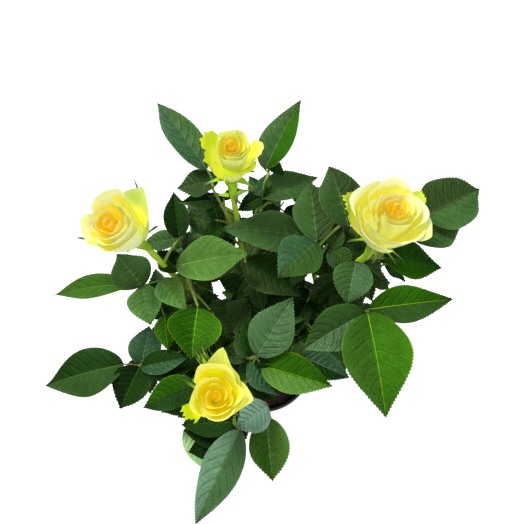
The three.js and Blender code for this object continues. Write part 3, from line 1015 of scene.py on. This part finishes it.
# Where the leaves that close the middle of the plant end, in mm.
HEART_LEAVES = [
    (-20, 6, 213), (-8, 20, 206), (-2, 8, 214), (6, 26, 212), (-34, -2, 212), (14, 0, 206), (-40, -15, 206),
    (34, 2, 205), (-62, -16, 200), (-54, -36, 198),
]


def grow_shaded_leaves():
    """Leaves under the top ones, turned in towards the middle of the plant, that thicken the crown."""
    shape = Shape()
    luck = random.Random(77)
    for mass, (shares, _) in SPRAYS.items():
        joint = share_of(mass, shares)
        inwards = unit(np.array([0, 8 * MM, 0]) - joint * [1, 1, 0])
        for step in range(2):
            turned = inwards + np.array([-inwards[1], inwards[0], 0]) * luck.uniform(-0.8, 0.8)
            target = joint + turned * luck.uniform(4, 16) * MM - np.array([0, 0, 16 + 15 * step]) * MM
            root = nearest_on_limbs(target, below=target[2] - 8 * MM)
            compound_leaf(shape, root, target, luck.uniform(20, 28) * MM, luck.choice(INNER_SHADE_TINTS), luck)
    # The leaves at the heart take the three darkest tints, as painted shade.
    for spot in HEART_LEAVES:
        target = np.array(spot) * MM
        root = nearest_on_limbs(target, below=target[2] - 8 * MM)
        compound_leaf(shape, root, target, luck.uniform(24, 30) * MM, luck.choice(INNER_SHADE_TINTS[:3]), luck)
    shape.build("blades_shaded", LEAF_LOOKS)


# ---------------------------------------------------------------- blooms

# For each rose: the cane that carries it, the way its rings of petals face, the way its heart leans from
# its foot, its neck and height in mm, and its petals from the heart outwards. Each petal has its facing
# and half span, its reach in mm, its rise as a share of the height, the roll of its lip in mm, how much
# it is pointed and where, and how ragged and how lime its lip is, with the zeros at the end left out.
# Then come the sepals, each with its facing, its length in mm, and its lean at foot and tip.
BLOOMS = {
    "bloom_left": dict(
        limb="cane_left", face=(-6, -3, 32), lean=(-17, 2.5, 30), neck=7, tall=32,
        petals=[
            (200, 290, 2.4, 1.0, 0.6),
            (125, 95, 6.0, 1.02, 0.9, 0.5, -0.1),
            (300, 85, 6.8, 1.0, 1.0, 0.1),
            (188, 62, 8.6, 1.0, 1.2),
            (88, 64, 11.8, 1.02, 1.2, 0.4),
            (290, 72, 10.4, 0.99, 1.2, 0.05, 0.5),
            (35, 46, 11.8, 0.98, 1.3),
            (14, 54, 15.0, 0.98, 1.5),
            (196, 44, 14.0, 0.96, 1.8, 0.1, 0.4, 0, 0.1),
            (286, 76, 13.4, 0.95, 1.4),
            (84, 58, 20.0, 0.99, 1.6, 0.18, -0.1, 0, 0.15),
            (174, 40, 18.5, 0.88, 2.6, 0.1, 0, 0.02, 0.55),
            (290, 84, 16.5, 0.84, 1.4),
            (32, 52, 24.0, 0.88, 2.2, 0.42, 0.34, 0.01, 0.95),
        ],
        sepals=[
            (68, 38, 76, 30), (177, 38, 66, 54), (20, 15, 84, 90), (255, 8, 60, 50), (130, 14, 80, 120),
        ],
    ),
    "bloom_back": dict(
        limb="cane_back", face=(1, -7, 32), lean=(2, 9.5, 35), neck=4, tall=32,
        petals=[
            (60, 290, 2.2, 1.0, 0.6),
            (250, 100, 4.6, 1.0, 0.9, 0.1),
            (60, 95, 5.0, 1.01, 0.9, 0.1),
            (330, 72, 6.6, 1.0, 1.0, 0.2),
            (150, 78, 7.8, 1.0, 1.1, 0, 0, 0, 0.1),
            (286, 74, 7.4, 0.99, 1.1, 0.2, 0.3, 0, 0.1),
            (20, 72, 9.6, 0.98, 1.2, 0, 0, 0, 0.2),
            (105, 74, 8.6, 1.0, 1.2, 0.12, -0.5, 0.01, 0.4),
            (240, 84, 9.4, 0.97, 1.2, 0.15, -0.4, 0, 0.1),
            (324, 70, 10.4, 0.93, 1.2, 0, 0, 0, 0.25),
            (172, 50, 16.5, 0.82, 2.6, 0.2, -0.5, 0.06, 1.0),
            (346, 50, 15.5, 0.82, 2.4, 0.25, 0.5, 0.02, 0.6),
            (276, 74, 13.0, 0.84, 5.0, 0.3, 0.75, 0, 1.0),
        ],
        sepals=[
            (100, 27, 62, 30), (335, 16, 80, 140), (290, 15, 90, 150), (200, 15, 80, 120),
            (30, 15, 80, 120),
        ],
    ),
    "bloom_right": dict(
        limb="cane_right", face=(-2, 0, 34), lean=(18, 23, 38), neck=8.5, tall=32,
        petals=[
            (150, 290, 2.5, 1.0, 0.6),
            (150, 92, 6.0, 1.01, 0.9, 0.4),
            (322, 86, 5.4, 0.99, 0.8),
            (116, 60, 9.0, 1.01, 1.0, 0.1),
            (222, 62, 8.2, 1.0, 1.2, 0.1),
            (288, 66, 8.8, 0.98, 1.0),
            (15, 62, 9.8, 0.98, 1.0),
            (160, 46, 12.4, 1.0, 1.3, 0.05),
            (252, 64, 11.4, 0.97, 1.1),
            (178, 42, 16.0, 0.97, 1.6),
            (5, 56, 13.5, 0.96, 1.6, 0, 0, 0, 0.05),
            (95, 54, 19.0, 1.02, 2.2, 0.1, 0.3, 0, 0.15),
            (218, 58, 21.0, 0.95, 1.8),
            (156, 48, 26.0, 1.0, 3.0, 0.05, 0.2, 0, 0.15),
            (356, 52, 17.5, 0.9, 2.2, 0, 0, 0, 0.1),
            (30, 26, 19.0, 0.88, 2.4, 0.1, 0, 0.03, 0.9),
            (210, 54, 25.0, 0.9, 1.8, 0.1, 0, 0, 0.1),
            (270, 68, 20.5, 0.85, 2.2, 0.12, -0.2, 0, 0.3),
            (322, 44, 21.5, 0.8, 2.6, 0.2, 0, 0, 0.6),
            (166, 18, 31.0, 0.98, 3.4, 0.05, 0, 0.04, 1.0),
        ],
        sepals=[
            (200, 18, 80, 120), (262, 15, 85, 150), (300, 17, 80, 115), (60, 15, 80, 120),
            (340, 19, 80, 110),
        ],
    ),
    "bloom_front": dict(
        limb="cane_front", face=(1, -2, 35), lean=(4.2, -1.2, 35), neck=4, tall=31,
        petals=[
            (30, 290, 2.2, 1.0, 0.6),
            (230, 96, 5.6, 1.01, 1.0, 0.3),
            (45, 82, 6.0, 1.0, 1.0),
            (12, 52, 9.8, 1.0, 1.2, -0.25),
            (128, 62, 10.4, 1.0, 1.3),
            (252, 82, 9.6, 0.99, 1.2),
            (9, 64, 12.0, 0.98, 1.5, 0.28),
            (86, 62, 15.5, 0.98, 2.6, 0.25, 0.55),
            (176, 64, 13.0, 0.96, 1.6, 0.05),
            (276, 78, 12.2, 0.95, 1.6),
            (78, 54, 16.5, 0.92, 1.8, 0.75, 0.1, 0, 0.6),
            (4, 52, 15.5, 0.86, 1.8, 0.35, -0.15, 0, 0.35),
            (206, 25, 18.5, 0.72, 2.2, 0.05, 0, 0.06, 1.0),
        ],
        sepals=[
            (144, 20, 68, 80), (38, 22, 70, 80), (334, 15, 72, 88), (262, 9, 70, 90), (105, 14, 80, 120),
        ],
    ),
}


# How thick a petal is, and how far its lip waves up and down and in and out, as shares.
PETAL_THICK = 0.3 * MM
LIP_WAVE = 0.022
LIP_SWAY = 0.05


def petal(shape, spine, axes, layer, luck, facing, span, reach, rise, roll, point=0, place=0, ragged=0,
          lime=0):
    """One petal: it leaves the foot of the spine, cups out to its reach, climbs to its rise and rolls at
    its lip. Its sides drop lower than its middle, and one side laps outside the next petal."""
    side, other, axis = axes
    rows, columns = 20, max(21, 2 * int(span / 9) + 5)
    across = np.linspace(-1, 1, columns)[None, :]
    t = 1 - (1 - np.linspace(0, 1, rows)[:, None]) ** 1.4
    drop = 0.05 + 0.2 * layer
    wave = LIP_WAVE * np.sin(across * luck.uniform(4, 7) + luck.uniform(0, 6))
    edge = 1 - drop * np.abs(across) ** 3 + wave
    s = t * edge
    cup = 1 - np.clip(1 - s, 0, 1) ** 2.1
    lipped = np.clip((s - 0.8) / 0.2, 0, 1.3)
    corner = np.exp(-np.sqrt((across - place) ** 2 + 0.003) / 0.26)
    start = min(1.3, 0.35 * reach)
    radius = start + (reach - start) * cup
    radius = radius * (1 + point * corner * np.clip(s, 0, 1.2) ** 4)
    radius = radius + reach * LIP_SWAY * np.sin(across * luck.uniform(3, 6) + luck.uniform(0, 6)) * t ** 2
    radius = radius + reach * ragged * (np.sin(across * 9 + facing) + np.sin(across * 23)) * t ** 5
    radius = radius + roll * lipped ** 2 + min(1.2, 0.35 * reach) * across * np.sin(np.pi / 2 * t)
    height = rise * np.clip(s, 0, 2) ** 1.05 - roll * 0.6 * lipped ** 2.5
    angle = math.radians(facing) + across * math.radians(span) * (1 - 0.35 * (1 - t) ** 2)
    flat = np.cos(angle)[..., None] * side + np.sin(angle)[..., None] * other
    inner = spine(height) + flat * radius[..., None] * MM
    thick = PETAL_THICK * (1 - np.abs(across) ** 8) * (1 - t ** 10)
    outer = inner + flat * thick[..., None] - thick[..., None] * axis * 0.3 * smooth(0.7, 1, t)[..., None]
    tone = lime * smooth(0.3, 0.85, t) + np.zeros_like(radius)
    back = np.maximum(tone, 0.5 * smooth(0.3, 0.0, t))
    shape.grid(inner, across=across, along=s, layer=layer, tone=tone)
    shape.grid(outer, turned=True, across=across, along=s, rib=1.0, layer=layer, tone=back)


def bloom_axes(face):
    """Sideways, away and along for a rose that faces a way, with sideways near +X."""
    axis = unit(np.array(face, float))
    side = unit(np.array([1, 0, 0]) - axis * axis[0])
    return side, np.cross(axis, side), axis


def grow_bloom(name, facts):
    """A rose: a tight scroll at its heart inside petals that open wider and wider."""
    luck = random.Random(name)
    shape = Shape()
    side, other, axis = bloom_axes(facts["face"])
    leaning = unit(np.array(facts["lean"], float))
    tall, petals = facts["tall"], facts["petals"]
    foot = LIMBS[facts["limb"]][0][-1] + leaning * facts["neck"] * MM
    top = foot + leaning * tall * MM
    turn = top - axis * tall * 0.55 * MM

    def spine(height):
        """A line that leaves the foot leaning and turns to face the way the rose faces."""
        u = np.asarray(height)[..., None] / tall
        return (1 - u) ** 2 * foot + 2 * u * (1 - u) * turn + u ** 2 * top

    for number, (facing, span, reach, rise, *rest) in enumerate(petals):
        layer = number / (len(petals) - 1)
        petal(shape, spine, (side, other, axis), layer, luck, facing, span, reach, tall * rise, *rest)
    look = PETALS[name.replace("bloom_", "")]
    shape.build(name.replace("bloom", "petals"), [look], [name])


# Lime bracts at the node under the back rose: the way each faces, and its length in mm. Then how far
# the node lies below the cane's end, and how far out the bracts start.
BRACTS = [(184, 14), (12, 16), (300, 9)]
BRACT_DROP = 10 * MM
BRACT_START = 1.6 * MM

# Where the bud's foot is, how long the bud is, and its radii in mm from foot to tip.
BUD_FOOT = (-35.5, -39, 258)
BUD_LENGTH = 13 * MM
BUD_RADII = [1.2, 1.9, 2.4, 2.6, 2.4, 2.0, 1.5, 0.8, 0.15]


def grow_calyxes():
    """The green cup under each bloom, with its five sepals, the bracts and the one small bud."""
    shape = Shape()
    for name, facts in BLOOMS.items():
        luck = random.Random(name + "sepals")
        middles, _ = LIMBS[facts["limb"]]
        side, other, axis = bloom_axes(facts["lean"])
        neck = facts["neck"]
        rises = np.array([-4, 0, neck - 2.5, neck - 0.5, neck + 0.5, neck + 1])
        line = middles[-1] + np.outer(rises * MM, axis)
        tube(shape, line, np.array([2.3, 2.8, 3.9, 4.6, 4.2, 2.6]) * MM, 16, tone=0.8)
        for facing, long, foot_lean, tip_lean in facts["sepals"]:
            a = math.radians(facing + luck.uniform(-8, 8))
            out = side * math.cos(a) + other * math.sin(a)
            root = middles[-1] + axis * (neck + 2) * MM + out * 3.6 * MM
            sepal(shape, root, out, axis, long * MM, luck, (foot_lean, tip_lean))
    grow_bracts(shape)
    grow_bud(shape, np.array(BUD_FOOT) * MM)
    shape.build("calyxes_and_sepals", [SEPAL])


def grow_bracts(shape):
    """Narrow bracts around the node under the back rose."""
    middles, _ = LIMBS["cane_back"]
    way = unit(middles[-1] - middles[-2])
    side, other, _ = bloom_axes(way)
    for facing, long in BRACTS:
        a = math.radians(facing)
        out = side * math.cos(a) + other * math.sin(a)
        root = middles[-1] - way * BRACT_DROP + out * BRACT_START
        sepal(shape, root, out, way, long * MM, random.Random(facing), (70, 100), 4.6)


# How thick a sepal is.
SEPAL_THICK = 0.25 * MM


def sepal(shape, root, out, axis, long, luck, lean, wide=6.0):
    """A narrow pointed sepal that leaves outwards and hangs or hugs. Its width is in mm."""
    rows, columns = 12, 5
    t = np.linspace(0, 1, rows)
    slope = np.radians(np.linspace(lean[0], lean[1] + luck.uniform(-6, 6), rows))
    step = long / (rows - 1)
    spine = np.cumsum(np.outer(np.sin(slope), out) + np.outer(np.cos(slope), axis), axis=0) * step + root
    left = unit(np.cross(axis, out))
    half = wide / 2 * MM * np.maximum((1 - t) ** 0.6 * (0.75 + 0.3 * np.sin(t * 9)), 0.03)
    across = np.linspace(-1, 1, columns)
    sheet = spine[:, None] + (across[None, :] * half[:, None])[..., None] * left
    hollow = (across[None, :] ** 2 * half[:, None] * 0.4)[..., None] * axis
    tone = smooth(0.9, 0.3, t)[:, None]
    shape.grid(sheet + hollow, turned=True, tone=tone)
    shape.grid(sheet + hollow - SEPAL_THICK * axis, tone=tone)


def grow_bud(shape, foot):
    """A small closed bud wrapped in its sepals."""
    side, other, axis = bloom_axes((-5, 11, 10))
    root = nearest_on_limbs(foot, ["cane_front"])
    stalk_to(root, foot, 1.0, 0.9, 0.02)
    line = foot + np.outer(np.linspace(0, 1, len(BUD_RADII)) * BUD_LENGTH, axis)
    tube(shape, line, np.array(BUD_RADII) * MM, 12, tone=0.1)
    luck = random.Random(5)
    for k in range(5):
        a = k * math.tau / 5
        out = side * math.cos(a) + other * math.sin(a)
        root = foot + axis * 3 * MM + out * 2.6 * MM
        sepal(shape, root, out, axis, BUD_LENGTH, luck, (14, -4), 2.6)


# ---------------------------------------------------------------- pot and compost

# The pot's foot as a share of its rim, its wall, the depth of the band under its rim, and how far that
# band stands out. Faint flutes run up its wall: how many, and how deep as a share of the radius.
FOOT_SHARE = 0.72
WALL = 1.6 * MM
BAND = 12 * MM
BAND_STEP = 2.2 * MM
FLUTES = 24
FLUTE_DEPTH = 0.0025
POT_SIDES = 120

# The roll of the rim from outside to inside, as mm inwards from its widest and mm down from its top.
RIM_ROLL = [
    (0.6, 4), (0.5, 3), (0.1, 2.2), (0, 1.3), (0.3, 0.4), (1, 0), (1.9, 0.1), (2.4, 0.7), (2.8, 1.8),
    (3.4, 6),
]


def grow_pot():
    """The pot: rolled rim, stepped band, drawn wall and flat foot, turned on its axis."""
    low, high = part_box("pot")
    tall, rim = high[2] - low[2], (high[0] - low[0]) / 2
    foot = rim * FOOT_SHARE
    slope = (rim - BAND_STEP - foot) / (tall - BAND)

    def outer(z):
        return foot + slope * z

    step = tall - BAND
    profile = [
        (0, 0), (foot - 5 * MM, 0), (foot - 1.4 * MM, 0), (foot - 0.6 * MM, 0.3 * MM),
        (outer(1.2 * MM), 1.2 * MM),
    ]
    profile += [(outer(z), z) for z in np.linspace(2 * MM, step - 1.6 * MM, 24)]
    profile += [
        (outer(step - 1 * MM), step - 1 * MM), (outer(step) + 0.5 * MM, step - 0.4 * MM),
        (rim - 1.2 * MM, step), (rim - 0.8 * MM, step + 0.5 * MM),
        (rim - 0.7 * MM, step + 4 * MM),
    ]
    profile += [(rim - inward * MM, tall - down * MM) for inward, down in RIM_ROLL]
    profile += [
        (outer(step) - WALL, step - 2 * MM), (outer(step / 2) - WALL, step / 2),
        (outer(2 * MM) - WALL, 2 * MM), (0, 2 * MM),
    ]
    turn = np.arange(POT_SIDES) / POT_SIDES * math.tau
    ring = np.stack([np.cos(turn), np.sin(turn), np.zeros(POT_SIDES)], axis=-1)
    rows = []
    for radius, z in profile:
        fluted = 6 * MM < z < step - 4 * MM and radius > foot
        depth = FLUTE_DEPTH * np.cos(turn * FLUTES) * fluted
        rows.append(ring * (radius * (1 + depth))[:, None] + np.array([0, 0, z + low[2]]))
    shape = Shape()
    shape.grid(np.array(rows), closed=True, turned=True)
    shape.build("pot_body", [plastic()], ["pot"])


def plastic():
    """Dark pot plastic with fine texture, faint scuffs and a little dust."""
    material, n, shader = new_material("pot_plastic")
    grain = n.noise(1800, 2)
    cloud = n.noise(28, 4, 0.6)
    scuff = n.ramp(n.noise(160, 5, 0.7), 0.62, 0.75)
    dust = n.ramp(cloud, 0.5, 0.8)
    colour = n.mix(n.times(dust, 0.35), paint("#29272a"), paint("#5a5148"))
    colour = n.mix(n.times(scuff, 0.22), colour, paint("#6a686b"))
    gloss = n.scaled(cloud, 0.22, 0.34)
    height = n.scaled(scuff, -0.4, grain)
    wire(n, shader, colour, gloss, height, 0.25, 0.3 * MM)
    return material


def compost():
    """Moist brown compost: dark fibres, paler crumbs and a few light grains."""
    material, n, shader = new_material("compost")
    crumbs = n.noise(330, 6, 0.75)
    cloud = n.noise(70, 3)
    colour = n.mix(n.ramp(crumbs, 0.35, 0.7), paint("#1d110b"), paint("#5c3a25"))
    colour = n.mix(n.times(n.ramp(cloud, 0.55, 0.75), 0.5), colour, paint("#3a2a1c"))
    grains = n.ramp(n.noise(520, 1), 0.74, 0.78)
    colour = n.mix(grains, colour, paint("#b9a98c"))
    gloss = n.scaled(crumbs, 0.3, 0.6)
    wire(n, shader, colour, gloss, crumbs, 0.9, 1.2 * MM)
    return material


# How far the compost's mean level lies under its packed top, how much it falls at its edge, how much
# its side leans in with depth, and its points around and outwards.
COMPOST_DROP = 1.2 * MM
EDGE_FALL = 2.2 * MM
SIDE_LEAN = 0.155
COMPOST_SIDES = 110
COMPOST_RINGS = 42


def grow_compost():
    """The compost's lumpy top, and a plain side under it."""
    low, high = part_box("soil")
    reach = (high[0] - low[0]) / 2
    top = high[2] - COMPOST_DROP
    rows = []
    turn = np.arange(COMPOST_SIDES) / COMPOST_SIDES * math.tau
    for radius in np.linspace(0, 1, COMPOST_RINGS):
        ring = []
        for a in turn:
            x, y = reach * radius * math.cos(a), reach * radius * math.sin(a)
            lump = noise.fractal(Vector((x * 140, y * 140, 0)), 1.0, 2.0, 4)
            crumb = max(0, noise.noise(Vector((x * 420, y * 420, 3)))) * 1.6
            ring.append((x, y, top + (lump * 1.1 + crumb - 0.6) * MM - EDGE_FALL * radius ** 8))
        rows.append(ring)
    for depth in (6 * MM, 30 * MM, 60 * MM, high[2] - low[2] - 3 * MM):
        side = reach - depth * SIDE_LEAN
        rows.append([(side * math.cos(a), side * math.sin(a), top - depth) for a in turn])
    shape = Shape()
    shape.grid(np.array(rows), closed=True)
    shape.build("compost_top", [compost()], ["soil"])


# ---------------------------------------------------------------- the whole plant

grow_limbs()
grow_thorns()
grow_sprays()
grow_lower_leaves()
grow_shaded_leaves()
for bloom_name, bloom_facts in BLOOMS.items():
    grow_bloom(bloom_name, bloom_facts)
grow_calyxes()
stalks.build("leaf_stalks", [STALK])
grow_pot()
grow_compost()


# ---------------------------------------------------------------- floor, light and camera

# Half the floor's side, in metres, and how far it lies under the pot so that the two never touch.
FLOOR_HALF = 3.0
FLOOR_DROP = 0.2 * MM
FLOOR_GLOW = 0.56
SKY_STRENGTH = 0.58

# For each lamp: its name, its place, its size in metres, its power in watts and its tint.
# All of them aim at the middle of the plant.
LAMPS = [
    ("key", (-0.6, 0.7, 1.4), 0.4, 18, (1.0, 1.0, 0.97)),
    ("fill", (0.9, -0.6, 1.2), 1.0, 3, (1, 1, 1)),
    ("low_front", (0.9, -0.9, 0.4), 0.8, 4, (1, 1, 1)),
    ("low_back", (-0.9, 1.0, 0.4), 0.8, 4, (1, 1, 1)),
]
LAMP_AIM = Vector((0, 0, 0.2))

# How steeply the camera looks down, in degrees, and its lens and sensor in mm.
LOOK_DOWN = 68
LENS = 35.04
SENSOR = 36


def pale_floor():
    """A wide pale floor that glows a little, so that it stays even and nearly white."""
    mesh = bpy.data.meshes.new("floor")
    ends = [(-1, -1), (1, -1), (1, 1), (-1, 1)]
    corners = [(x * FLOOR_HALF, y * FLOOR_HALF, -FLOOR_DROP) for x, y in ends]
    mesh.from_pydata(corners, [], [(0, 1, 2, 3)])
    material, _, shader = new_material("pale_floor")
    for label, value in (
        ("Base Color", (0.8, 0.8, 0.8, 1)), ("Roughness", 0.9),
        ("Emission Color", (1, 1, 1, 1)), ("Emission Strength", FLOOR_GLOW),
    ):
        shader.inputs[label].default_value = value
    mesh.materials.append(material)
    put_in_scene("floor", mesh)


def soft_light():
    """A pale sky all round, and soft lamps."""
    world = bpy.data.worlds.new("soft_sky")
    world.use_nodes = True
    sky = world.node_tree.nodes["Background"]
    sky.inputs["Color"].default_value = (1.0, 1.0, 1.0, 1)
    sky.inputs["Strength"].default_value = SKY_STRENGTH
    bpy.context.scene.world = world
    for name, where, size, power, tint in LAMPS:
        lamp = bpy.data.lights.new(name, "AREA")
        lamp.size = size
        lamp.energy = power
        lamp.color = tint
        holder = put_in_scene(name, lamp)
        holder.location = where
        holder.rotation_euler = (LAMP_AIM - Vector(where)).to_track_quat("-Z", "Y").to_euler()


def place_camera():
    """Looking steeply down from in front of the plant."""
    lens = bpy.data.cameras.new("camera")
    lens.lens = LENS
    lens.sensor_width = SENSOR
    lens.clip_start = 10 * MM
    camera = put_in_scene("camera", lens)
    camera.location = EYE
    camera.rotation_euler = (math.radians(90 - LOOK_DOWN), 0, 0)
    bpy.context.scene.camera = camera


pale_floor()
soft_light()
place_camera()
bpy.context.scene.view_settings.view_transform = "Standard"
